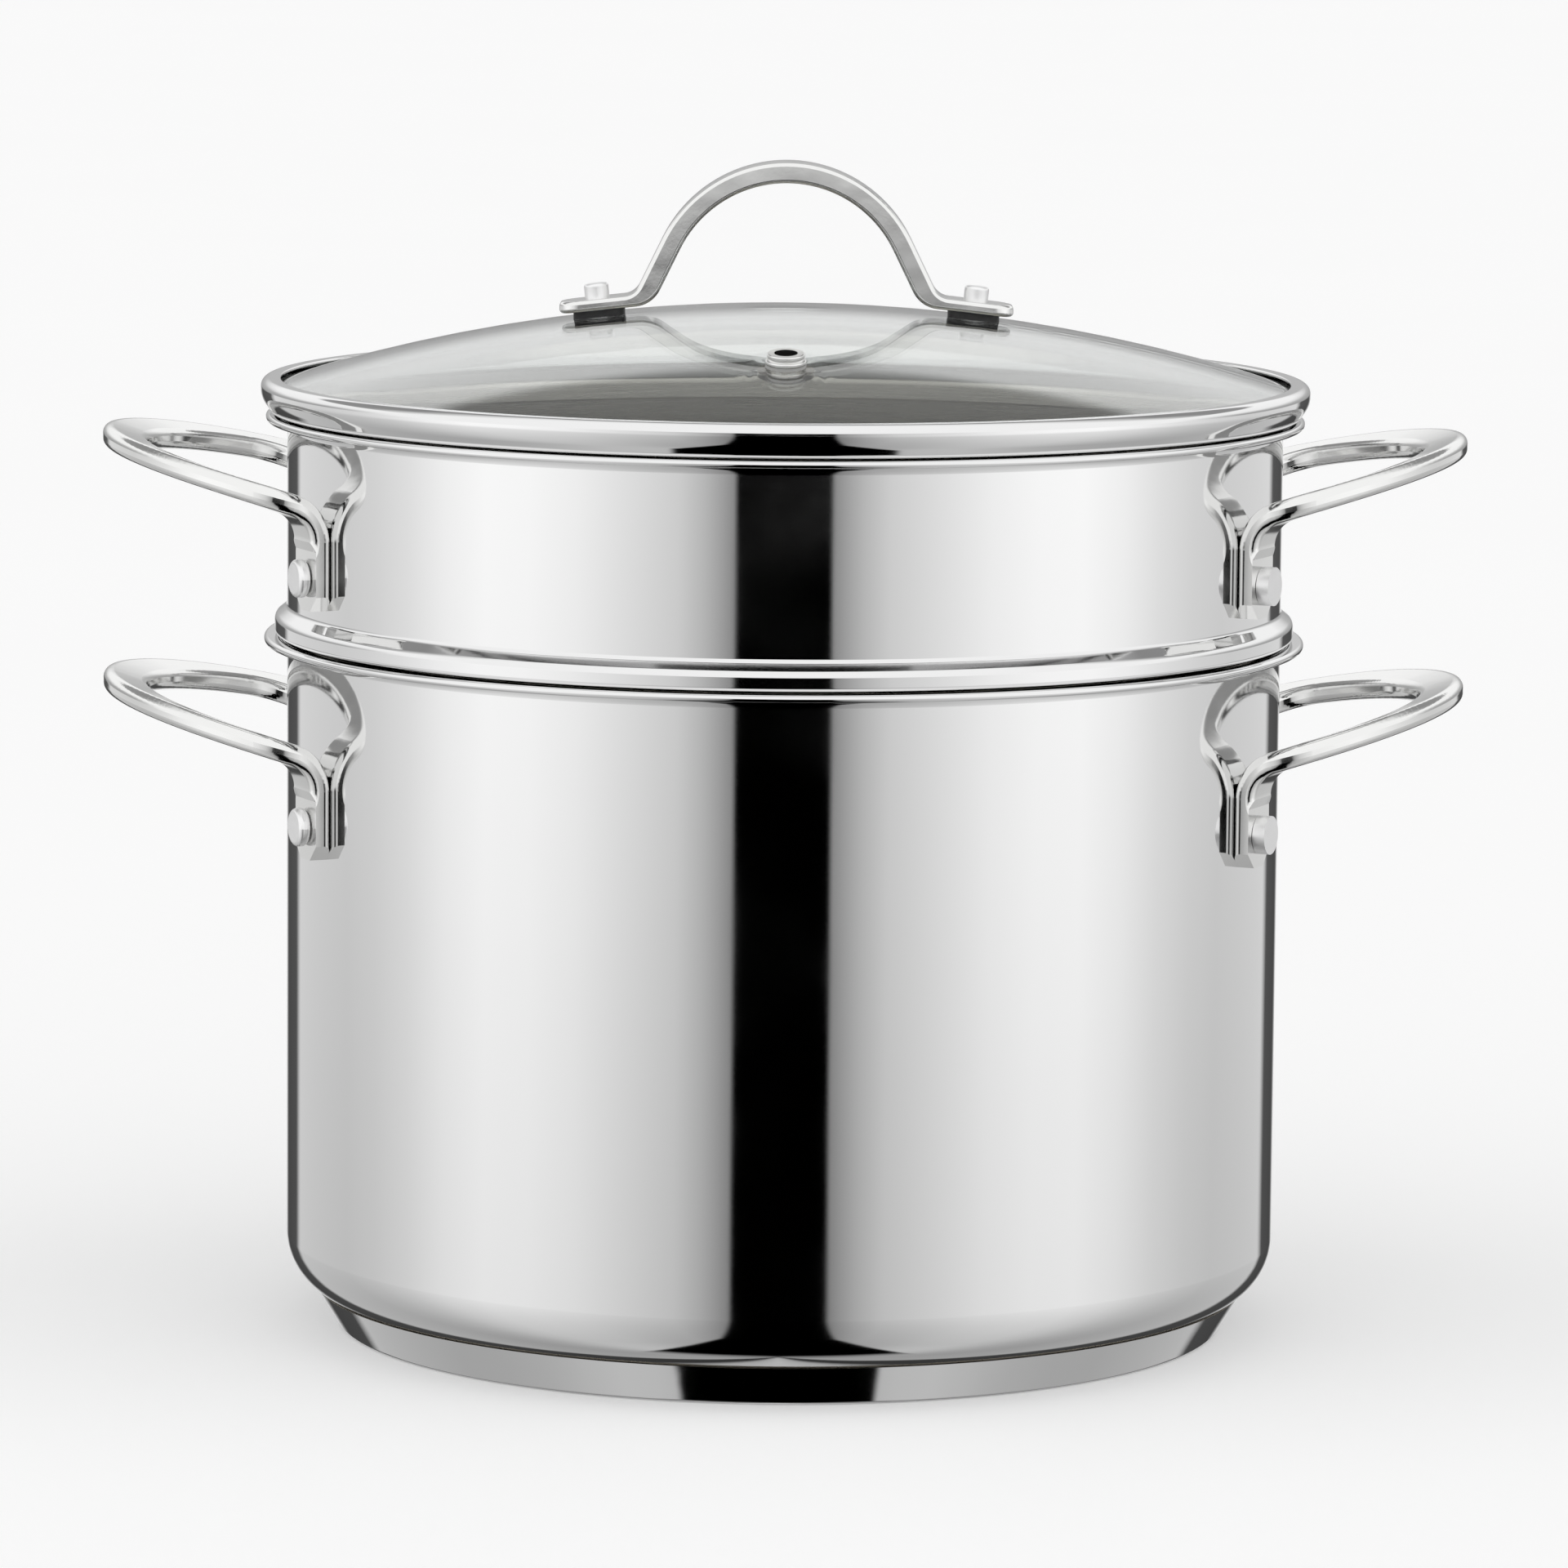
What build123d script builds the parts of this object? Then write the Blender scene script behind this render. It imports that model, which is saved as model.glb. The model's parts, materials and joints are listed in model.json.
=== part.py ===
from build123d import *
import math
import os

os.makedirs("parts", exist_ok=True)

# Two-tier water bath canner: a pot with an encapsulated base, a perforated jar insert that hangs in
# it and rises above its rim, and a domed glass lid. Millimetres, +Z up. The origin is the centre of
# the underside, the side handles lie along X, and the lid's vent faces -Y.

# ---- Driving dimensions ----
sheet = 0.8  # stainless sheet of both vessels
wall_r = 130.8  # outer radius of both vessels' walls
play = 0.3  # clearance between the tiers that lift off each other
seat = 0.04  # hollow of the curved washers under a flat rivet head

pot_floor = 8.5  # underside of the pot's own floor, on top of the base
pot_corner = 15.5  # outer radius of the pot's bottom corner
pot_top = 183.0
pot_rim_r = 136.9
hem = 1.2  # height between the two layers of a rolled rim
hem_depth = 2.6  # how far a rolled rim turns back
rim_bend = 3.6  # from a vessel's wall into its rim
hem_bend = 0.55

base_foot_r = 117.1  # base capsule, at the counter
base_top_r = 123.4  # and at its upper edge
base_top = 10.4
base_edge = 1.2

bead_r = 134.1  # bead of the insert, which rests on the pot's rim
bead_height = 7.2
bead_side = 4.2  # height of the bead's widest stretch
neck_bend = 1.6  # from the basket out into the bead
bead_foot_bend = 0.9
bead_bend = 1.8
insert_top = 241.3
insert_rim_r = 136.45
basket_r = 127.4  # perforated part inside the pot
basket_floor = 26.0
basket_corner = 12.0
hole_r = 4.0
wall_rows = 5
wall_holes = 18
first_row = 52.0
row_step = 30.0
floor_ring_step = 26.0
floor_rings = 3

dome_r = 440.0  # top face of the glass
dome_apex = 269.4
glass = 4.0
glass_edge_r = 134.3
band = 0.9  # sheet of the lid's steel band
band_lip_bend = 1.8
band_side_bend = 6.0
band_foot_bend = 1.2
skirt_bend = 1.6
band_top = 250.5
band_r = 137.8
band_lip_r = 132.9  # inner edge of the lip over the glass
band_side = 245.8  # where the band turns in
band_foot_r = 135.2
skirt_r = 129.3
skirt_depth = 5.0
lid_seal_r = 129.9  # inner radius of the seal under the glass

tab_angle = 24.4  # of each handle tab, from the X axis
tab_width = 14.5
tab = 4.4  # thickness at a rivet
tab_corner = 4.0  # cut off the tab's lower corners
tab_below = 8.4  # tab's lower end under its rivet
bend_above = 9.75  # where the strap leaves the wall, over its rivet
bend_r = 13.0  # on top of the bend
grip = 5.5  # thickness of the loop
grip_rise = 19.0  # slope of the loop, in degrees
grip_tip = 179.3
grip_tip_width = 11.5
grip_edge = 2.1
grip_edge_above = 3.0  # where the rounding starts, over the bend
loop_outer_r = 69.2
loop_inner_r = 63.5
corner_outer = 16.0
corner_inner = 12.0
notch = 2.5
pot_rivet_z = 138.2
insert_rivet_z = 202.7

rivet_head_r = 5.0
rivet_head = 3.3
rivet_edge = 1.3
shank_r = 2.5
inner_head_r = 4.6
inner_head = 1.6

arch_r = 36.4  # outside of the lid handle's arch
arch_top = 307.6
arch = 5.4  # thickness of the arch
arch_splay = 26.0  # lean of the arch's legs, in degrees
arch_leg = 30.0  # length of a leg's outline, down into the dome
arch_flare = 5.0  # bend from leg to tab, on top
arch_heel = 8.0  # and underneath
arch_edge = 1.0
lid_tab_reach = 59.5
lid_strap = 15.0  # width along Y
lid_tab = 3.0
lid_tab_corner = 5.0
lid_rivet_x = 49.1
lid_gasket = 1.85
lid_gasket_length = 13.5
lid_gasket_width = 10.0
lid_gasket_corner = 3.0
lid_stud_r = 3.2
lid_stud = 3.8
lid_stud_edge = 0.8
lid_shank_r = 2.0
bushing_r = 4.0
washer_r = 6.5
washer = 1.2
lid_peen_r = 3.4
lid_peen = 1.6

vent_y = -86.5
vent_hole_r = 3.0
vent_tube_r = 4.3
vent_flange_r = 5.2
vent_bead_r = 4.8
vent_gasket = 0.7
vent_flange = 1.1
vent_groove = 0.5
vent_bead = 1.2
vent_edge = 0.35
vent_washer_r = 7.2
vent_curl_r = 5.4
vent_curl = 0.9

# ---- Sizes that follow ----
inner_r = wall_r - sheet
wall_mid = wall_r - sheet / 2
corner_r = wall_r - pot_corner
basket_mid = basket_r - sheet / 2
bead_foot = pot_top + play
lid_foot = insert_top + play
dome_centre = dome_apex - dome_r
arch_z = arch_top - arch_r
under_washer = -glass - washer - seat  # heights on the dome are measured from the top face of the glass
tall = 2 * arch_top  # longer than anything it cuts


# ---- Shared shapes ----
def sheet_turned(points, radii, thickness):
    """Sheet of revolution whose middle follows (radius, height) points with rounded corners."""
    with BuildPart() as turned:
        with BuildSketch(Plane.XZ):
            with BuildLine():
                FilletPolyline(*points, radius=radii)
                offset(amount=thickness / 2, side=Side.BOTH)
            make_face()
            split(bisect_by=Plane.YZ)
        revolve(axis=Axis.Z)
    return turned.part


def dome_layer(bottom, top, reach):
    """Cap between two spheres, at these heights over the top face of the glass."""
    with BuildPart() as layer:
        with BuildSketch(Plane.XZ):
            with Locations((0, dome_centre)):
                Circle(dome_r + top)
                Circle(dome_r + bottom, mode=Mode.SUBTRACT)
            with Locations((reach / 2, dome_apex)):
                Rectangle(reach, dome_r / 2, mode=Mode.INTERSECT)
        revolve(axis=Axis.Z)
    return layer.part


def on_dome(x, y):
    """Plane on the top face of the glass, with its Z square to it."""
    z = dome_centre + math.sqrt(dome_r**2 - x**2 - y**2)
    return Plane(origin=(x, y, z), x_dir=(1, 0, -x / (z - dome_centre)), z_dir=(x, y, z - dome_centre))


def facing_out(radius, turn, height):
    """Plane at this radius, this many degrees round from the X axis, with its Z pointing out."""
    x = math.cos(math.radians(turn))
    y = math.sin(math.radians(turn))
    return Plane(origin=(radius * x, radius * y, height), x_dir=(-y, x, 0), z_dir=(x, y, 0))


def on_wall(side, height):
    """Planes on the outside of the wall at one handle's two rivets."""
    middle = 0 if side > 0 else 180
    return [facing_out(wall_r, middle + turn, height) for turn in (-tab_angle, tab_angle)]


def rivet_holes(height):
    """Drills for the four rivets of one tier."""
    with BuildPart() as drills:
        with Locations(*on_wall(1, height), *on_wall(-1, height)):
            Cylinder(shank_r, 2 * inner_head_r)
    return drills.part


def side_handle(side, rivet_z):
    """Loop handle: a strap turned round the wall, cut to the loop's outline and rounded."""
    rise = math.radians(grip_rise)
    bend_x = wall_r + bend_r
    bend_z = rivet_z + bend_above
    tab_face = wall_r + tab
    tab_foot = rivet_z - tab_below
    under_r = bend_r - grip
    tip = grip_tip + grip
    tip_top = bend_z + bend_r * math.cos(rise) + (tip - bend_x + bend_r * math.sin(rise)) * math.tan(rise)
    leg_x = math.cos(math.radians(tab_angle))
    leg_y = math.sin(math.radians(tab_angle))

    def on_leg(reach, edge):
        """Point this far out along the leg, and this far sideways from its middle."""
        return (reach * leg_x - edge * leg_y, reach * leg_y + edge * leg_x)

    def meets(edge, centre, radius):
        """Where the leg's edge meets a circle centred on the X axis."""
        return on_leg(centre * leg_x + math.sqrt(radius**2 - (edge + centre * leg_y) ** 2), edge)

    def outline(edge, reach, radius, corner):
        """Both legs' edges, joined round the tip."""
        start = on_leg(inner_r, edge)
        turn = meets(edge, reach - radius, radius)
        with BuildSketch(Plane.XY) as plan:
            with BuildLine():
                Polyline((turn[0], -turn[1]), (start[0], -start[1]), start, turn)
                ThreePointArc(turn, (reach, 0), (turn[0], -turn[1]))
            make_face()
            fillet(plan.vertices().sort_by(Axis.X)[-2:], corner)
        return plan.sketch

    with BuildPart() as handle:
        with BuildSketch(Plane.XZ):
            with BuildLine():
                Polyline((wall_r, bend_z), (wall_r, tab_foot), (tab_face, tab_foot),
                         (tab_face, bend_z - notch), (bend_x - under_r, bend_z))
                under = CenterArc((bend_x, bend_z), under_r, 180, grip_rise - 90)
                over = CenterArc((bend_x, bend_z), bend_r, 90 + grip_rise, 90 - grip_rise)
                Polyline(under @ 1, (tip, tip_top - grip / math.cos(rise)), (tip, tip_top), over @ 0)
            make_face()
        revolve(axis=Axis.Z)
        extrude(outline(tab_width / 2, grip_tip, loop_outer_r, corner_outer), tall, mode=Mode.INTERSECT)
        extrude(outline(-tab_width / 2, grip_tip - grip_tip_width, loop_inner_r, corner_inner), tall,
                mode=Mode.SUBTRACT)
        fillet(handle.edges().filter_by_position(Axis.Z, bend_z + grip_edge_above, tall), grip_edge)
        with BuildSketch(*on_wall(1, tab_foot)):
            with Locations((-tab_width / 2, 0), (tab_width / 2, 0)):
                Rectangle(tab_corner * math.sqrt(2), tab_corner * math.sqrt(2), rotation=45)
        extrude(amount=grip, both=True, mode=Mode.SUBTRACT)
        add(rivet_holes(rivet_z), mode=Mode.SUBTRACT)
    return handle.part if side > 0 else handle.part.mirror(Plane.YZ)


def wall_rivets(side, height):
    """Two solid rivets, each with a drum head over the tab and a flat head inside the wall."""
    planes = on_wall(side, height)
    upwards = (Align.CENTER, Align.CENTER, Align.MIN)
    with BuildPart() as rivets:
        with Locations(*planes):
            Cylinder(inner_head_r, 2 * (sheet + inner_head))
        Cylinder(inner_r, tall, mode=Mode.INTERSECT)
        with Locations(*[plane.offset(-sheet - inner_head) for plane in planes]):
            Cylinder(shank_r, inner_head + sheet + tab, align=upwards)
        with Locations(*[plane.offset(tab) for plane in planes]):
            Cylinder(rivet_head_r, rivet_head, align=upwards)
        rims = rivets.edges().filter_by(GeomType.CIRCLE).filter_by(lambda edge: edge.radius == rivet_head_r)
        fillet(rims.sort_by(Axis.X, reverse=side > 0)[:2], rivet_edge)
    return rivets.part


def tab_ridge(base):
    """Section under the planes of both lid tabs, which lie this far over the glass at their rivets."""
    lean = math.asin(lid_rivet_x / dome_r)
    peak = dome_centre + (dome_r + base) / math.cos(lean)
    eave = peak - 2 * arch_r * math.tan(lean)
    with BuildSketch(Plane.XZ) as ridge:
        with BuildLine():
            Polyline((0, peak), (2 * arch_r, eave), (2 * arch_r, 0), (-2 * arch_r, 0), (-2 * arch_r, eave),
                     close=True)
        make_face()
    return ridge.sketch


def arch_outline(radius, base, corner):
    """Arch of this radius whose splayed legs end in the planes of the tabs."""
    splay = math.radians(arch_splay)
    leg_top = (radius * math.cos(splay), arch_z + radius * math.sin(splay))
    leg_foot = (leg_top[0] + arch_leg * math.sin(splay), leg_top[1] - arch_leg * math.cos(splay))
    with BuildSketch(Plane.XZ) as outline:
        with Locations((0, arch_z)):
            Circle(radius)
        with BuildLine():
            Polyline(leg_top, leg_foot, (-leg_foot[0], leg_foot[1]), (-leg_top[0], leg_top[1]), close=True)
        make_face()
        add(tab_ridge(base))
        feet = outline.vertices().filter_by(lambda v: radius < abs(v.X) < lid_tab_reach)
        fillet(feet, corner)
    return outline.sketch


def discs(planes, layers, bore):
    """Stacked discs on each plane, given as (bottom, top, radius), with a bore where it isn't 0."""
    with BuildPart() as stack:
        for bottom, top, radius in layers:
            with Locations(*[plane.offset(bottom) for plane in planes]):
                Cylinder(radius, top - bottom, align=(Align.CENTER, Align.CENTER, Align.MIN))
        if bore > 0:
            with Locations(*planes):
                Cylinder(bore, tall / 4, mode=Mode.SUBTRACT)
    return stack.part


# ---- Base: an aluminium heat-spreading disc, sealed in a steel cap under the pot ----
with BuildSketch(Plane.XZ) as pot_outside:
    with BuildLine():
        Polyline((corner_r, pot_floor), (0, pot_floor), (0, pot_top), (wall_r, pot_top),
                 (wall_r, pot_floor + pot_corner))
        CenterArc((corner_r, pot_floor + pot_corner), pot_corner, -90, 90)
    make_face()

with BuildPart() as base_core:
    with BuildSketch(Plane.XZ):
        with BuildLine():
            Polyline((0, sheet), (base_foot_r - sheet, sheet), (base_top_r - 2 * sheet, base_top - sheet),
                     (0, base_top - sheet), close=True)
        make_face()
        add(pot_outside.sketch, mode=Mode.SUBTRACT)
    revolve(axis=Axis.Z)
base_core.part.label = "base_core"
export_step(base_core.part, "parts/base_core.step")

with BuildPart() as base_cap:
    with BuildSketch(Plane.XZ) as cap_section:
        with BuildLine():
            Polyline((0, 0), (base_foot_r, 0), (base_top_r, base_top), (0, base_top), close=True)
        make_face()
        fillet(cap_section.vertices().sort_by(Axis.X)[-2], base_edge)
        add(pot_outside.sketch, mode=Mode.SUBTRACT)
    revolve(axis=Axis.Z)
    add(base_core.part, mode=Mode.SUBTRACT)
base_cap.part.label = "base_cap"
export_step(base_cap.part, "parts/base_cap.step")

# ---- Pot: one drawn sheet, with its rim rolled under ----
with BuildPart() as pot_shell:
    add(sheet_turned(
        [(-wall_r / 2, pot_floor + sheet / 2), (wall_mid, pot_floor + sheet / 2),
         (wall_mid, pot_top - sheet / 2), (pot_rim_r - sheet / 2, pot_top - sheet / 2),
         (pot_rim_r - sheet / 2, pot_top - sheet / 2 - hem),
         (pot_rim_r - hem_depth, pot_top - sheet / 2 - hem)],
        [pot_corner - sheet / 2, rim_bend, hem_bend, hem_bend], sheet))
    add(rivet_holes(pot_rivet_z), mode=Mode.SUBTRACT)
pot_shell.part.label = "pot_shell"
export_step(pot_shell.part, "parts/pot_shell.step")

# ---- Insert: one drawn sheet with a bead that rests on the pot, and a drilled basket below it ----
bead_mid = bead_foot + sheet / 2
with BuildPart() as insert_shell:
    add(sheet_turned(
        [(-wall_r / 2, basket_floor + sheet / 2), (basket_mid, basket_floor + sheet / 2),
         (basket_mid, bead_mid), (bead_r - sheet / 2, bead_mid),
         (bead_r - sheet / 2, bead_mid + bead_side), (wall_mid, bead_foot + bead_height),
         (wall_mid, insert_top - sheet / 2), (insert_rim_r - sheet / 2, insert_top - sheet / 2),
         (insert_rim_r - sheet / 2, insert_top - sheet / 2 - hem),
         (insert_rim_r - hem_depth, insert_top - sheet / 2 - hem)],
        [basket_corner, neck_bend, bead_foot_bend, bead_bend, bead_bend, rim_bend, hem_bend, hem_bend],
        sheet))
    drills = []
    for row in range(wall_rows):
        for step in range(wall_holes):
            turn = (step + row % 2 / 2) * 360 / wall_holes
            drills.append(facing_out(basket_mid, turn, first_row + row * row_step))
    with Locations(*drills):
        Cylinder(hole_r, 6 * sheet, mode=Mode.SUBTRACT)
    with BuildSketch(Plane.XY.offset(basket_floor - sheet)):
        Circle(hole_r)
        for ring in range(1, floor_rings + 1):
            with PolarLocations(ring * floor_ring_step, 6 * ring):
                Circle(hole_r)
    extrude(amount=3 * sheet, mode=Mode.SUBTRACT)
    add(rivet_holes(insert_rivet_z), mode=Mode.SUBTRACT)
insert_shell.part.label = "insert_shell"
export_step(insert_shell.part, "parts/insert_shell.step")

# ---- Side handles and their rivets, a pair on each tier ----
for tier, rivet_z in (("pot", pot_rivet_z), ("insert", insert_rivet_z)):
    for name, side in (("right", 1), ("left", -1)):
        grip_part = side_handle(side, rivet_z)
        grip_part.label = f"{tier}_handle_{name}"
        export_step(grip_part, f"parts/{grip_part.label}.step")
        rivet_part = wall_rivets(side, rivet_z)
        rivet_part.label = f"{tier}_rivets_{name}"
        export_step(rivet_part, f"parts/{rivet_part.label}.step")

# ---- Lid: domed glass held in a steel band, with a seal under its edge ----
lid_rivet_planes = [on_dome(-lid_rivet_x, 0), on_dome(lid_rivet_x, 0)]
vent_plane = on_dome(0, vent_y)

with BuildPart() as lid_glass:
    add(dome_layer(-glass, 0, glass_edge_r))
    with Locations(*lid_rivet_planes):
        Hole(bushing_r, 3 * glass)
    with Locations(vent_plane):
        Hole(vent_tube_r, 3 * glass)
lid_glass.part.label = "lid_glass"
export_step(lid_glass.part, "parts/lid_glass.step")

with BuildPart() as lid_band:
    band_foot = lid_foot + band / 2
    add(sheet_turned(
        [(band_lip_r, band_top - band / 2), (band_r - band / 2, band_top - band / 2),
         (band_r - band / 2, band_side), (band_foot_r - band / 2, band_foot), (skirt_r - band / 2, band_foot),
         (skirt_r - band, band_foot - skirt_depth)],
        [band_lip_bend, band_side_bend, band_foot_bend, skirt_bend], band))
lid_band.part.label = "lid_band"
export_step(lid_band.part, "parts/lid_band.step")

with BuildPart() as lid_seal:
    with BuildSketch(Plane.XZ):
        with Locations((lid_seal_r, lid_foot + band)):
            Rectangle(glass_edge_r - 1 - lid_seal_r, band_top - lid_foot, align=(Align.MIN, Align.MIN))
        with Locations((0, dome_centre)):
            Circle(dome_r - glass, mode=Mode.INTERSECT)
    revolve(axis=Axis.Z)
lid_seal.part.label = "lid_seal"
export_step(lid_seal.part, "parts/lid_seal.step")

# ---- Lid handle: an arched strap on two tabs that follow the dome, over two gaskets ----
lid_drills = discs(lid_rivet_planes, [(-glass, 2 * glass, lid_shank_r)], 0)

with BuildSketch() as tab_outline:
    RectangleRounded(2 * lid_tab_reach, lid_strap, lid_tab_corner)

with BuildPart() as lid_handle:
    extrude(arch_outline(arch_r, lid_gasket + lid_tab, arch_flare), lid_strap, both=True)
    extrude(arch_outline(arch_r - arch, lid_gasket, arch_heel), lid_strap, both=True, mode=Mode.SUBTRACT)
    extrude(tab_outline.sketch, tall, mode=Mode.INTERSECT)
    rounded = lid_handle.edges().filter_by_position(Axis.Z, dome_apex, tall)
    fillet(rounded.filter_by(Axis.Y, reverse=True), arch_edge)
    add(lid_drills, mode=Mode.SUBTRACT)
lid_handle.part.label = "lid_handle"
export_step(lid_handle.part, "parts/lid_handle.step")

with BuildSketch() as gasket_outline:
    with Locations((-lid_rivet_x, 0), (lid_rivet_x, 0)):
        RectangleRounded(lid_gasket_length, lid_gasket_width, lid_gasket_corner)

with BuildPart() as lid_handle_gaskets:
    add(dome_layer(0, 2 * lid_gasket, lid_tab_reach))
    extrude(gasket_outline.sketch, tall, mode=Mode.INTERSECT)
    extrude(tab_ridge(lid_gasket), lid_strap, both=True, mode=Mode.INTERSECT)
    add(lid_drills, mode=Mode.SUBTRACT)
lid_handle_gaskets.part.label = "lid_handle_gaskets"
export_step(lid_handle_gaskets.part, "parts/lid_handle_gaskets.step")

# ---- Lid rivets: a stud on each tab, peened over a washer under the glass, with a bush in its hole ----
with BuildPart() as lid_bushings:
    add(dome_layer(-glass, 0, lid_tab_reach))
    add(discs(lid_rivet_planes, [(-2 * glass, glass, bushing_r)], lid_shank_r), mode=Mode.INTERSECT)
lid_bushings.part.label = "lid_bushings"
export_step(lid_bushings.part, "parts/lid_bushings.step")

with BuildPart() as lid_washers:
    add(dome_layer(-glass - washer, -glass, lid_tab_reach))
    add(discs(lid_rivet_planes, [(-2 * glass, glass, washer_r)], lid_shank_r), mode=Mode.INTERSECT)
lid_washers.part.label = "lid_washers"
export_step(lid_washers.part, "parts/lid_washers.step")

stud_top = lid_gasket + lid_tab + lid_stud
with BuildPart() as lid_rivets:
    add(discs(lid_rivet_planes, [
        (under_washer - lid_peen, under_washer, lid_peen_r),
        (under_washer, lid_gasket + lid_tab, lid_shank_r),
        (lid_gasket + lid_tab, stud_top, lid_stud_r)], 0))
    rims = lid_rivets.edges().filter_by(GeomType.CIRCLE).filter_by(lambda edge: edge.radius == lid_stud_r)
    fillet(rims.sort_by(Axis.Z)[-2:], lid_stud_edge)
lid_rivets.part.label = "lid_rivets"
export_step(lid_rivets.part, "parts/lid_rivets.step")

# ---- Vent: an eyelet curled over a washer under the glass, with a gasket under its flange ----
flange_top = vent_gasket + vent_flange
bead_bottom = flange_top + vent_groove
with BuildPart() as vent_seal:
    add(dome_layer(0, vent_gasket, glass_edge_r))
    add(discs([vent_plane], [(-glass, glass, vent_flange_r)], vent_tube_r), mode=Mode.INTERSECT)
vent_seal.part.label = "vent_gasket"
export_step(vent_seal.part, "parts/vent_gasket.step")

with BuildPart() as vent_washer:
    add(dome_layer(-glass - washer, -glass, glass_edge_r))
    add(discs([vent_plane], [(-2 * glass, glass, vent_washer_r)], vent_tube_r), mode=Mode.INTERSECT)
vent_washer.part.label = "vent_washer"
export_step(vent_washer.part, "parts/vent_washer.step")

with BuildPart() as vent_eyelet:
    add(discs([vent_plane], [
        (under_washer - vent_curl, under_washer, vent_curl_r),
        (under_washer, vent_gasket, vent_tube_r),
        (vent_gasket, flange_top, vent_flange_r),
        (flange_top, bead_bottom, vent_tube_r),
        (bead_bottom, bead_bottom + vent_bead, vent_bead_r)], vent_hole_r))
    rims = vent_eyelet.edges().filter_by(GeomType.CIRCLE).filter_by(lambda edge: edge.radius > vent_tube_r)
    fillet(rims.sort_by(SortBy.DISTANCE)[-4:], vent_edge)
vent_eyelet.part.label = "vent_eyelet"
export_step(vent_eyelet.part, "parts/vent_eyelet.step")
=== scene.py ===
import json
import math

import bmesh
import bpy
from mathutils import Matrix, Vector


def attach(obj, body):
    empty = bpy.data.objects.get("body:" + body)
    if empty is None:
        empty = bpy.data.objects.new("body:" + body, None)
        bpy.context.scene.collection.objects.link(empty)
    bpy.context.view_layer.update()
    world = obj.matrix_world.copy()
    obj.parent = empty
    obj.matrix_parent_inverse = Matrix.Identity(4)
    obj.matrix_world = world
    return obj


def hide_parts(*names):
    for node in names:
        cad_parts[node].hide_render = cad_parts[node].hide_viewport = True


# A two-tier stainless canner in a white studio: mirror-polished vessels and handles, satin rivets,
# and a clear domed lid. Metres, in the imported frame.

CAMERA_PLACE = (0.0004, -2.2478, 0.4376)
CAMERA_TILT = math.radians(7.466)
CAMERA_ROLL = math.radians(0.47)
CAMERA_LENS = 196.8
SENSOR = 36.0
FLOOR_REACH = 40.0
FLOOR_DROP = 0.0002  # of the floor under the base
FLOOR_GLOW = 0.11

# ---- Studio light: radiance of the walls round the object, by the angle from the camera's side ----
WALL_LIGHT = [(0, 0.27), (12, 0.31), (14, 0.39), (18, 0.53), (24, 0.69), (36, 0.83), (48, 0.97), (60, 1.05),
              (72, 1.07), (84, 0.98), (96, 0.83), (108, 0.73), (120, 0.68), (150, 0.73), (154, 0.09),
              (167, 0.07), (173, 0.75), (180, 1.0)]
DEPTH_LIGHT = [(-90, 0.52), (-60, 0.55), (-30, 0.72), (-12, 0.84), (-8, 1.0), (-5, 1.08), (0, 1.1)]
UPPER_LIGHT = 1.05
UPPER_FROM, UPPER_TO = -4.8, -1.5  # elevations over which the panels give way to the ceiling
BACK_LIGHT = [(-8, 0.36), (0, 0.4), (5, 0.5), (9, 0.78), (14, 1.0), (26.5, 1.05), (28.5, 0.32), (45, 0.28),
              (60, 0.9), (90, 1.1)]
BACK_SPREAD = 0.5  # of y, over which the ceiling in front gives way to the light at the back
GAP_SINE = 0.178  # half-width of the dark gap between the two front panels
GAP_EDGE = 0.022  # softness of the gap's sides
GAP_SPREAD = 0.35  # how much the gap widens below GAP_FLARE
GAP_FLARE = -0.72  # sine of the elevation where the gap starts to widen
GAP_TOP = -0.078  # sine of the elevation where the gap ends
GAP_TOP_EDGE = 0.004
FRONT_EDGE = 0.1  # of y, over which the gap ends at the sides

SATIN_REACH = (0.1315, 0.1305)  # radii over which the mirror finish gives way to the satin inside and its painted shade

# ---- Turned sheets: the middle of each as (radius, height), the bends at its corners, and its thickness ----
BAND_PATH = [(0.1329, 0.25005), (0.13734, 0.25005), (0.13734, 0.2458), (0.13475, 0.24205), (0.12885, 0.24205),
             (0.1284, 0.2366)]
BAND_BENDS = [0.0018, 0.006, 0.0012, 0.0016]
BAND_SHEET = 0.0009
POT_PATH = [(0.0, 0.0089), (0.1304, 0.0089), (0.1304, 0.1826), (0.1365, 0.1826), (0.1365, 0.1814), (0.1343, 0.1814)]
POT_BENDS = [0.0151, 0.0036, 0.00055, 0.00055]
BASKET_CUT = 0.176  # height where the insert's plain wall takes over from its drilled basket
INSERT_PATH = [(0.127, BASKET_CUT), (0.127, 0.1837), (0.1337, 0.1837), (0.1337, 0.1879), (0.1304, 0.1905),
               (0.1304, 0.2409), (0.13605, 0.2409), (0.13605, 0.2397), (0.13385, 0.2397)]
INSERT_BENDS = [0.0016, 0.0009, 0.0018, 0.0018, 0.0036, 0.00055, 0.00055]
VESSEL_SHEET = 0.0008
BEND_STEPS = 10  # faces round a bend, and round the edge of a sheet
TURN_STEPS = 288  # faces round the axis


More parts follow.
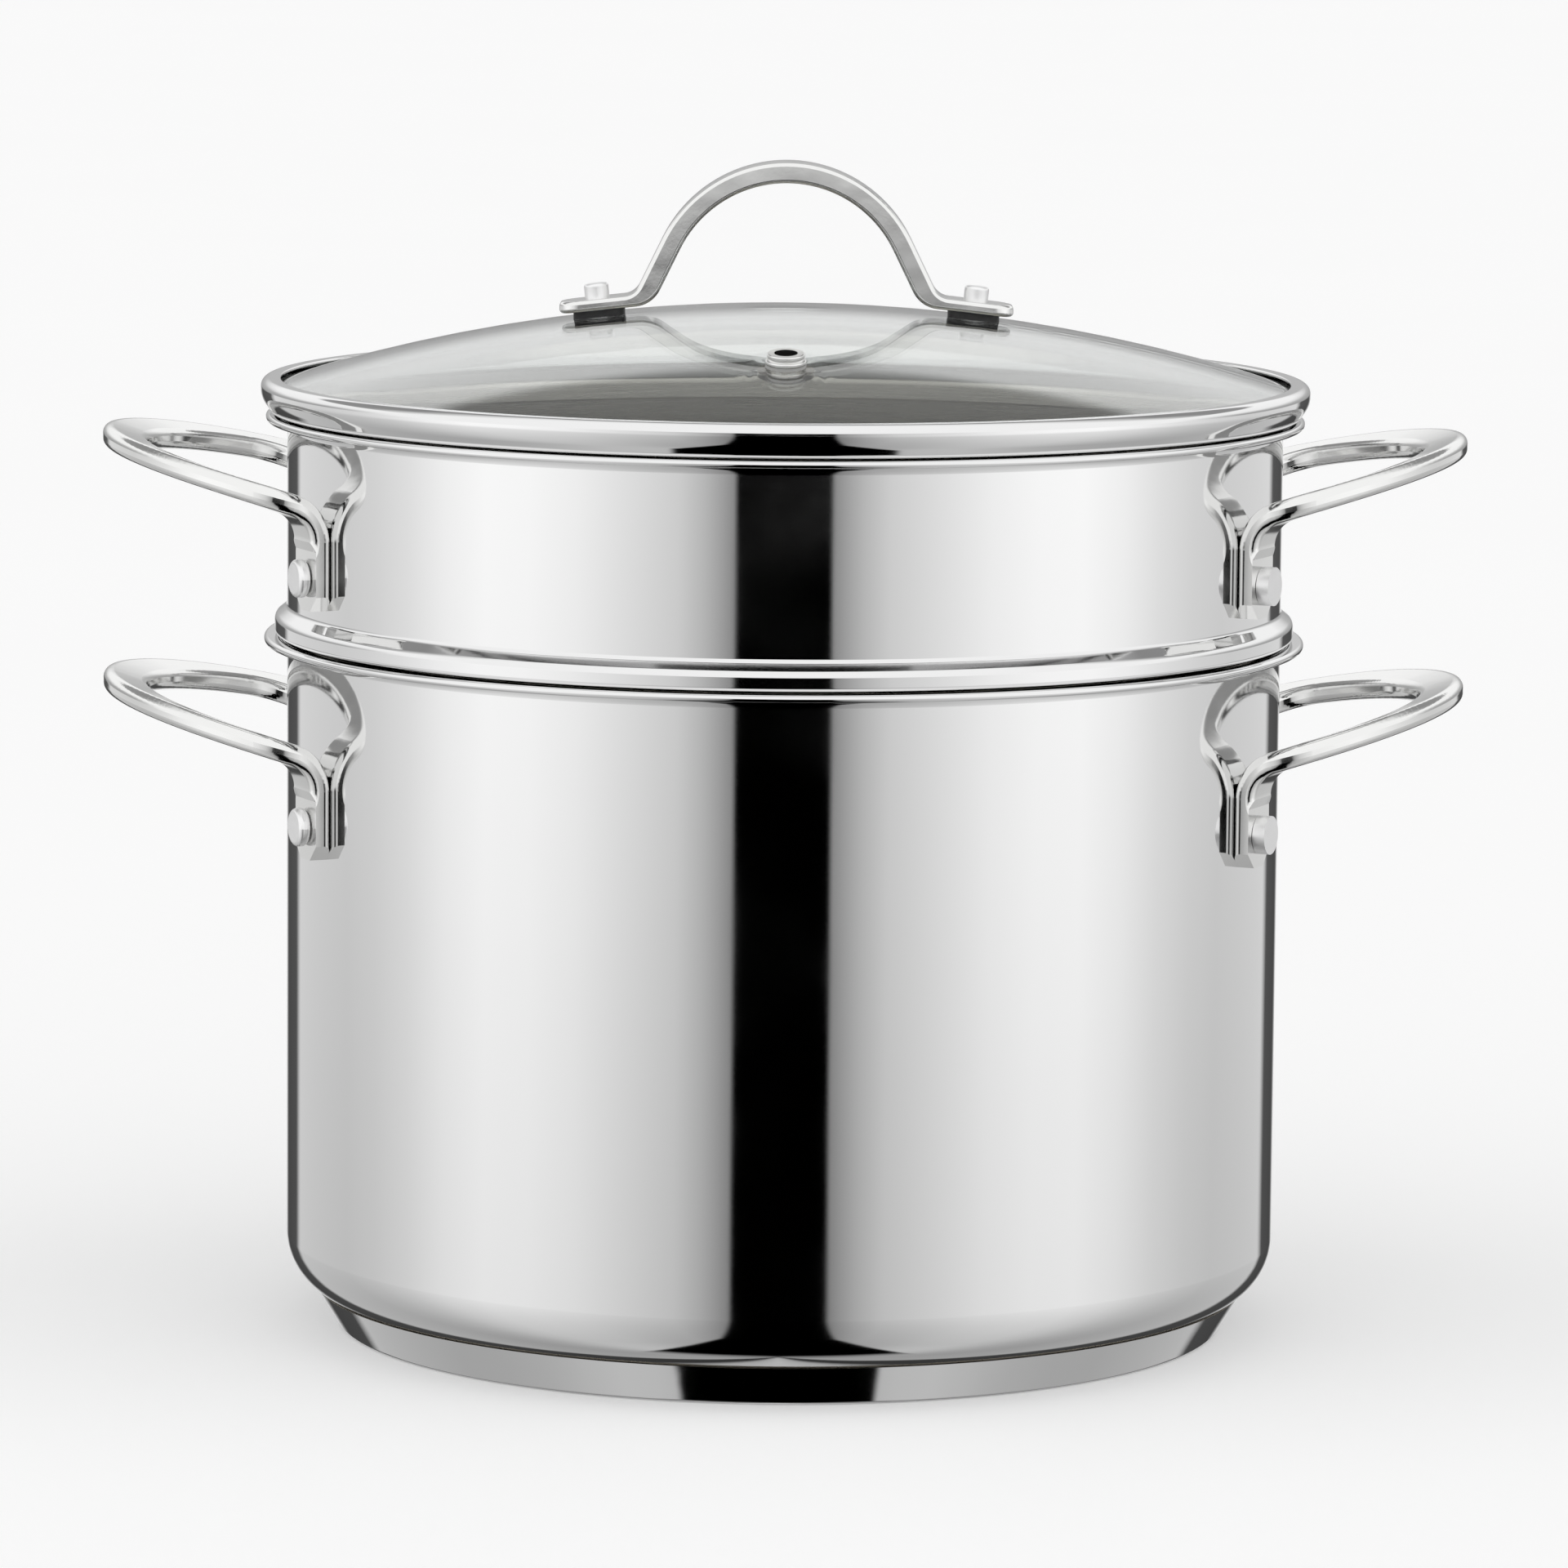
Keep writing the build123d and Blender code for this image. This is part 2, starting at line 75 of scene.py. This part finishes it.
class Graph:
    """Node tree with short calls for the few kinds of node used here."""

    def __init__(self, tree):
        self.tree = tree
        tree.nodes.clear()

    def add(self, kind, **settings):
        node = self.tree.nodes.new(kind)
        for name, value in settings.items():
            setattr(node, name, value)
        return node

    def plug(self, socket, value):
        if isinstance(value, bpy.types.NodeSocket):
            self.tree.links.new(value, socket)
        else:
            socket.default_value = value

    def math(self, operation, a, b=0.0, c=0.0, clamp=False):
        node = self.add("ShaderNodeMath", operation=operation, use_clamp=clamp)
        for socket, value in zip(node.inputs, (a, b, c)):
            self.plug(socket, value)
        return node.outputs[0]

    def vector(self, operation, a, b=(0, 0, 0)):
        node = self.add("ShaderNodeVectorMath", operation=operation)
        self.plug(node.inputs[0], a)
        self.plug(node.inputs[1], b)
        return node.outputs["Value" if operation in ("DOT_PRODUCT", "LENGTH") else "Vector"]

    def split(self, vector):
        node = self.add("ShaderNodeSeparateXYZ")
        self.plug(node.inputs[0], vector)
        return node.outputs

    def join(self, x, y, z):
        node = self.add("ShaderNodeCombineXYZ")
        for socket, value in zip(node.inputs, (x, y, z)):
            self.plug(socket, value)
        return node.outputs[0]

    def span(self, value, low, high, out_low=0.0, out_high=1.0, smooth=True):
        node = self.add("ShaderNodeMapRange", interpolation_type="SMOOTHSTEP" if smooth else "LINEAR")
        for socket, given in zip(node.inputs[:5], (value, low, high, out_low, out_high)):
            self.plug(socket, given)
        return node.outputs[0]

    def blend(self, factor, a, b):
        """a where factor is 0 and b where it is 1, for numbers."""
        node = self.add("ShaderNodeMix", data_type="FLOAT")
        for socket, value in zip((node.inputs[0], node.inputs[2], node.inputs[3]), (factor, a, b)):
            self.plug(socket, value)
        return node.outputs[0]

    def tint(self, factor, a, b):
        """The same for colours."""
        node = self.add("ShaderNodeMix", data_type="RGBA")
        for socket, value in zip((node.inputs[0], node.inputs[6], node.inputs[7]), (factor, a, b)):
            self.plug(socket, value)
        return node.outputs[2]

    def noise(self, vector, scale, detail=2.0, roughness=0.5):
        node = self.add("ShaderNodeTexNoise")
        self.plug(node.inputs["Vector"], vector)
        for name, value in (("Scale", scale), ("Detail", detail), ("Roughness", roughness)):
            self.plug(node.inputs[name], value)
        return node.outputs["Fac"]

    def bump(self, height, distance, strength=1.0, normal=None):
        node = self.add("ShaderNodeBump")
        self.plug(node.inputs["Height"], height)
        self.plug(node.inputs["Distance"], distance)
        self.plug(node.inputs["Strength"], strength)
        if normal is not None:
            self.plug(node.inputs["Normal"], normal)
        return node.outputs[0]

    def curve(self, value, points):
        """Brightness read from a ramp of (angle, brightness) points, spread over the ramp's own range."""
        low, high = points[0][0], points[-1][0]
        node = self.add("ShaderNodeValToRGB")
        self.plug(node.inputs[0], self.span(value, low, high, smooth=False))
        ramp = node.color_ramp
        for place, (angle, level) in enumerate(points):
            at = (angle - low) / (high - low)
            stop = ramp.elements[place] if place < 2 else ramp.elements.new(at)
            stop.position = at
            stop.color = (level, level, level, 1)
        return node.outputs[0]


def make_world():
    """White panels all round, with a dark gap in front and dark flags at the back, and a bright ceiling."""
    world = bpy.data.worlds.new("studio")
    world.use_nodes = True
    bpy.context.scene.world = world
    g = Graph(world.node_tree)
    x, y, z = g.split(g.add("ShaderNodeTexCoord").outputs["Generated"])
    aside = g.math("ABSOLUTE", x)
    around = g.math("DEGREES", g.math("ARCTAN2", aside, g.math("MULTIPLY", y, -1.0)))
    above = g.math("DEGREES", g.math("ARCSINE", z))
    walls = g.math("MULTIPLY", g.curve(around, WALL_LIGHT), g.curve(above, DEPTH_LIGHT))
    spread = g.math("MULTIPLY", g.math("MAXIMUM", g.math("SUBTRACT", GAP_FLARE, z), 0.0), GAP_SPREAD)
    edge = g.math("SUBTRACT", aside, g.math("ADD", GAP_SINE, spread))
    outside = g.span(edge, 0.0, GAP_EDGE)
    behind = g.span(y, -FRONT_EDGE, FRONT_EDGE)
    over = g.span(z, GAP_TOP - GAP_TOP_EDGE, GAP_TOP + GAP_TOP_EDGE)
    lit = g.math("MAXIMUM", g.math("MAXIMUM", outside, behind), over)
    ceiling = g.span(above, UPPER_FROM, UPPER_TO)
    upper = g.blend(g.span(y, 0.0, BACK_SPREAD), UPPER_LIGHT, g.curve(above, BACK_LIGHT))
    studio = g.blend(ceiling, g.math("MULTIPLY", walls, lit), upper)
    backdrop = g.add("ShaderNodeLightPath").outputs["Is Camera Ray"]
    background = g.add("ShaderNodeBackground")
    g.plug(background.inputs["Color"], (1, 1, 1, 1))
    g.plug(background.inputs["Strength"], g.blend(backdrop, studio, 1.0))
    g.plug(g.add("ShaderNodeOutputWorld").inputs["Surface"], background.outputs[0])


def make_material(name, base, metallic=0.0, roughness=0.3):
    """Material with a Principled shader; returns it with its graph and its shader."""
    material = bpy.data.materials.new(name)
    material.use_nodes = True
    g = Graph(material.node_tree)
    shader = g.add("ShaderNodeBsdfPrincipled")
    g.plug(shader.inputs["Base Color"], (*base, 1))
    g.plug(shader.inputs["Metallic"], metallic)
    g.plug(shader.inputs["Roughness"], roughness)
    g.plug(g.add("ShaderNodeOutputMaterial").inputs["Surface"], shader.outputs[0])
    return material, g, shader


def turned_space(g):
    """Place on a body of revolution, its three coordinates, and its distance from the axis, in metres."""
    place = g.add("ShaderNodeTexCoord").outputs["Object"]
    x, y, z = g.split(place)
    radius = g.math("SQRT", g.math("ADD", g.math("MULTIPLY", x, x), g.math("MULTIPLY", y, y)))
    return place, x, y, z, radius


def vessel_steel():
    """Mirror outside, satin brushed inside; both turned on a lathe, so the marks run round. The inside also gets a
    darker, brownish base colour, which is painted shade under the lid.
    """
    material, g, shader = make_material("vessel_steel", (0.8, 0.8, 0.8), 1.0, 0.06)
    place, x, y, z, radius = turned_space(g)
    normal = g.add("ShaderNodeNewGeometry").outputs["Normal"]
    outward = g.vector("DOT_PRODUCT", g.vector("NORMALIZE", g.join(x, y, 0.0)), normal)
    upward = g.split(normal)[2]
    inside = g.span(g.math("SUBTRACT", g.math("MULTIPLY", upward, 0.35), outward), 0.0, 0.2)
    inside = g.math("MULTIPLY", inside, g.span(radius, *SATIN_REACH))
    rings = g.noise(g.join(0.0, 0.0, z), 9000.0, 3.0, 0.6)
    marks = g.noise(g.vector("MULTIPLY", place, (40, 40, 5200)), 1.0, 4.0, 0.65)
    wave = g.noise(place, 14.0, 1.0)
    patches = g.noise(place, 30.0, 3.0)
    rough_out = g.span(patches, 0.3, 0.75, 0.035, 0.06)
    rough_in = g.span(marks, 0.3, 0.7, 0.24, 0.36)
    g.plug(shader.inputs["Roughness"], g.blend(inside, rough_out, rough_in))
    # The inside's darker, brownish base colour is painted shade inside the vessel; its satin roughness and brushing
    # are real.
    g.plug(shader.inputs["Base Color"], g.tint(inside, (0.82, 0.82, 0.82, 1), (0.5, 0.475, 0.43, 1)))
    polish = g.bump(rings, g.blend(inside, 0.000002, 0.00002), 0.35)
    brushed = g.bump(marks, g.blend(inside, 0.0000025, 0.00005), 0.5, polish)
    g.plug(shader.inputs["Normal"], g.bump(wave, 0.00006, 0.6, brushed))
    return material


def handle_steel():
    """Cast steel polished by hand: bright, with faint waves and fine rubbing marks."""
    material, g, shader = make_material("handle_steel", (0.84, 0.84, 0.83), 1.0, 0.1)
    place = g.add("ShaderNodeTexCoord").outputs["Object"]
    rub = g.noise(g.vector("MULTIPLY", place, (900, 300, 900)), 1.0, 4.0, 0.6)
    g.plug(shader.inputs["Roughness"], g.span(g.noise(place, 60.0, 3.0), 0.3, 0.7, 0.07, 0.13))
    g.plug(shader.inputs["Normal"], g.bump(g.noise(place, 90.0, 1.0), 0.0001, 0.5, g.bump(rub, 0.000004, 0.6)))
    return material


def rivet_aluminium():
    """Satin white aluminium with a fine grain."""
    material, g, shader = make_material("rivet_aluminium", (0.93, 0.93, 0.93), 0.85, 0.36)
    place = g.add("ShaderNodeTexCoord").outputs["Object"]
    grain = g.noise(place, 2600.0, 3.0, 0.6)
    g.plug(shader.inputs["Roughness"], g.span(g.noise(place, 300.0), 0.3, 0.7, 0.3, 0.42))
    g.plug(shader.inputs["Normal"], g.bump(grain, 0.00002, 0.5))
    return material


def lid_glass():
    """Clear tempered glass, faintly green through its edge."""
    material, g, shader = make_material("lid_glass", (0.96, 0.985, 0.975), 0.0, 0.0)
    place = g.add("ShaderNodeTexCoord").outputs["Object"]
    g.plug(shader.inputs["Transmission Weight"], 1.0)
    g.plug(shader.inputs["IOR"], 1.5)
    g.plug(shader.inputs["Roughness"], g.span(g.noise(place, 25.0, 3.0), 0.35, 0.75, 0.0, 0.015))
    g.plug(shader.inputs["Normal"], g.bump(g.noise(place, 8.0, 1.0), 0.0003, 0.3))
    return material


def rubber(name, base, roughness):
    """Moulded rubber or silicone with a soft grain."""
    material, g, shader = make_material(name, base, 0.0, roughness)
    place = g.add("ShaderNodeTexCoord").outputs["Object"]
    g.plug(shader.inputs["Roughness"], g.span(g.noise(place, 400.0, 3.0), 0.3, 0.7, roughness, roughness + 0.15))
    g.plug(shader.inputs["Normal"], g.bump(g.noise(place, 1500.0, 2.0), 0.00002, 0.5))
    return material


def core_aluminium():
    """Plain rolled aluminium, sealed in the base."""
    material, g, shader = make_material("core_aluminium", (0.8, 0.8, 0.81), 1.0, 0.4)
    place = g.add("ShaderNodeTexCoord").outputs["Object"]
    g.plug(shader.inputs["Normal"], g.bump(g.noise(g.vector("MULTIPLY", place, (60, 2000, 60)), 1.0), 0.00002, 0.5))
    return material


def dress(materials):
    """Gives every CAD node the material of its slot."""
    for part in frame["record"]["subparts"]:
        node = frame["nodes"][part["node"]]
        node.data.materials.clear()
        node.data.materials.append(materials[part["material_slot"]])


def along_bend(start, before, turn, radius):
    """Points of an arc that leaves start in the direction before, each with its own direction."""
    side = math.copysign(1.0, turn)
    centre = start + side * radius * Vector((-before.y, before.x))
    for step in range(BEND_STEPS + 1):
        ahead = Matrix.Rotation(turn * step / BEND_STEPS, 2) @ before
        yield centre - side * radius * Vector((-ahead.y, ahead.x)), ahead


def bent_sheet(path, bends, thickness):
    """Outline of a bent sheet with round edges, as (place, outward direction) pairs."""
    points = [Vector(point) for point in path]
    first = (points[1] - points[0]).normalized()
    last = (points[-1] - points[-2]).normalized()
    rail = [(points[0], first)]
    for before, corner, after, radius in zip(points, points[1:], points[2:], bends):
        arriving, leaving = (corner - before).normalized(), (after - corner).normalized()
        turn = math.atan2(arriving.x * leaving.y - arriving.y * leaving.x, arriving.dot(leaving))
        start = corner - arriving * radius * math.tan(abs(turn) / 2)
        rail.extend(along_bend(start, arriving, turn, radius))
    rail.append((points[-1], last))
    left = [(place, Vector((-ahead.y, ahead.x))) for place, ahead in rail]
    right = [(place, -across) for place, across in reversed(left)]

    def edge(place, across):
        return [(place, Matrix.Rotation(-math.pi * step / BEND_STEPS, 2) @ across) for step in range(1, BEND_STEPS)]

    sides = left + edge(*left[-1]) + right + edge(*right[-1])
    return [(place + thickness / 2 * out, out) for place, out in sides]


def turned_piece(name, outline, material):
    """Mesh turned about the Z axis from an outline, with the outline's own directions as its normals."""
    places, normals = [], []
    for step in range(TURN_STEPS):
        turn = Matrix.Rotation(math.tau * step / TURN_STEPS, 3, "Z")
        for place, out in outline:
            places.append(turn @ Vector((place.x, 0.0, place.y)))
            normals.append(turn @ Vector((out.x, 0.0, out.y)))
    count = len(outline)
    faces = []
    for step in range(TURN_STEPS):
        here, there = step * count, (step + 1) % TURN_STEPS * count
        for one in range(count):
            two = (one + 1) % count
            faces.append((here + one, here + two, there + two, there + one))
    mesh = bpy.data.meshes.new(name)
    mesh.from_pydata(places, [], faces)
    mesh.shade_smooth()
    mesh.normals_split_custom_set_from_vertices(normals)
    mesh.materials.append(material)
    piece = bpy.data.objects.new(name, mesh)
    bpy.context.scene.collection.objects.link(piece)
    return piece


def make_sheets(material):
    """The band and the vessels, spun more finely than their CAD nodes, so reflections run smoothly round them."""
    for node, body, path, bends, thickness in (
            ("lid_band", "lid", BAND_PATH, BAND_BENDS, BAND_SHEET),
            ("pot_shell", "pot", POT_PATH, POT_BENDS, VESSEL_SHEET),
            ("insert_shell", "insert", INSERT_PATH, INSERT_BENDS, VESSEL_SHEET)):
        piece = turned_piece(node + "_fine", bent_sheet(path, bends, thickness), material)
        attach(piece, body)
        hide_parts(node)


def make_basket():
    """The drilled lower part of the insert, from its own CAD mesh, cut off where the plain wall takes over."""
    basket = bpy.data.objects.new("insert_basket", frame["nodes"]["insert_shell"].data.copy())
    basket.matrix_world = frame["nodes"]["insert_shell"].matrix_world
    bpy.context.scene.collection.objects.link(basket)
    cut = bmesh.new()
    cut.from_mesh(basket.data)
    everything = cut.verts[:] + cut.edges[:] + cut.faces[:]
    bmesh.ops.bisect_plane(cut, geom=everything, plane_co=(0, 0, BASKET_CUT), plane_no=(0, 0, 1), clear_outer=True)
    cut.to_mesh(basket.data)
    cut.free()
    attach(basket, "insert")
    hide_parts("insert_shell")


def make_floor():
    """White sweep. It is left out of mirror reflections, as the studio's panels are all that shows in them."""
    material, g, shader = make_material("floor_white", (0.93, 0.93, 0.93), 0.0, 0.9)
    place = g.add("ShaderNodeTexCoord").outputs["Object"]
    g.plug(shader.inputs["Roughness"], g.span(g.noise(place, 3.0), 0.3, 0.7, 0.85, 0.95))
    g.plug(shader.inputs["Emission Color"], (1, 1, 1, 1))
    g.plug(shader.inputs["Emission Strength"], FLOOR_GLOW)
    mesh = bpy.data.meshes.new("floor")
    reach = FLOOR_REACH
    corners = [(-reach, -reach, 0), (reach, -reach, 0), (reach, reach, 0), (-reach, reach, 0)]
    mesh.from_pydata(corners, [], [(0, 1, 2, 3)])
    mesh.materials.append(material)
    floor = bpy.data.objects.new("floor", mesh)
    floor.location.z = -FLOOR_DROP
    floor.visible_glossy = False
    bpy.context.scene.collection.objects.link(floor)


def make_camera():
    """The photograph's own viewpoint: a long lens, a little above the lid, tilted down."""
    data = bpy.data.cameras.new("camera")
    data.lens = CAMERA_LENS
    data.sensor_width = SENSOR
    data.clip_end = 4 * FLOOR_REACH
    camera = bpy.data.objects.new("camera", data)
    turn = Matrix.Rotation(math.pi / 2 - CAMERA_TILT, 4, "X") @ Matrix.Rotation(CAMERA_ROLL, 4, "Z")
    camera.matrix_world = Matrix.Translation(CAMERA_PLACE) @ turn
    bpy.context.scene.collection.objects.link(camera)
    bpy.context.scene.camera = camera


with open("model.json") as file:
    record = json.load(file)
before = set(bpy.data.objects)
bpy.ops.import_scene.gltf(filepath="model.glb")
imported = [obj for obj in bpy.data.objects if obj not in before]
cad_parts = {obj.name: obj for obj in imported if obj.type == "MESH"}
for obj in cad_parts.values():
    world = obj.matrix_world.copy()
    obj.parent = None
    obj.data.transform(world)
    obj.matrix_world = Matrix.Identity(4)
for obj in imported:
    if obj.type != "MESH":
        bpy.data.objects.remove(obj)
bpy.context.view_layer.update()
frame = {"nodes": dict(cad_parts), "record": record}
bpy.context.scene.view_settings.view_transform = "Standard"
make_world()
steel = vessel_steel()
dress({
    "polished_steel": steel,
    "handle_steel": handle_steel(),
    "rivet_aluminium": rivet_aluminium(),
    "core_aluminium": core_aluminium(),
    "lid_glass": lid_glass(),
    "seal_silicone": rubber("seal_silicone", (0.45, 0.45, 0.44), 0.35),
    "gasket_black": rubber("gasket_black", (0.02, 0.02, 0.02), 0.4),
})
make_sheets(steel)
make_basket()
make_floor()
make_camera()
